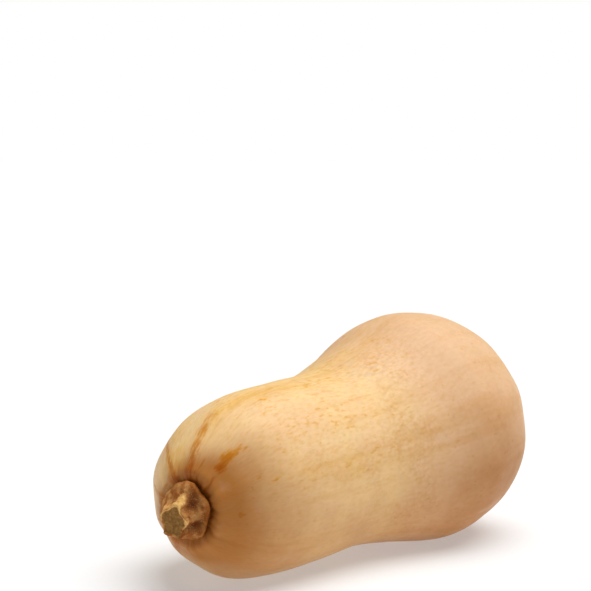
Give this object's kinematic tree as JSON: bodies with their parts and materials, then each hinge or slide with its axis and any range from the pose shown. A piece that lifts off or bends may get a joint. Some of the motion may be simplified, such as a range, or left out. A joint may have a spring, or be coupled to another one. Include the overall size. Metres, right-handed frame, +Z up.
{
  "type": "butternut squash",
  "caption": "Whole butternut squash lying on its side: a round bulb, a thick neck with a gentle bend, and the short corky stump of its cut stem.",
  "frame": {"origin": "on the plane the squash rests on, under the middle of its bounding box", "axes": "+X along the fruit from the stem to the blossom end, +Z up as it lies, +Y to the left when seen from the stem"},
  "size_m": [0.2392, 0.1208, 0.1173],
  "materials": {
    "squash_skin": "waxy, softly satin fruit skin, cream to tan",
    "stem_cork": "dry, rough and corky, reddish brown"
  },
  "bodies": {
    "root": {"fruit": "squash_skin", "stem": "stem_cork"}
  },
  "joints": []
}
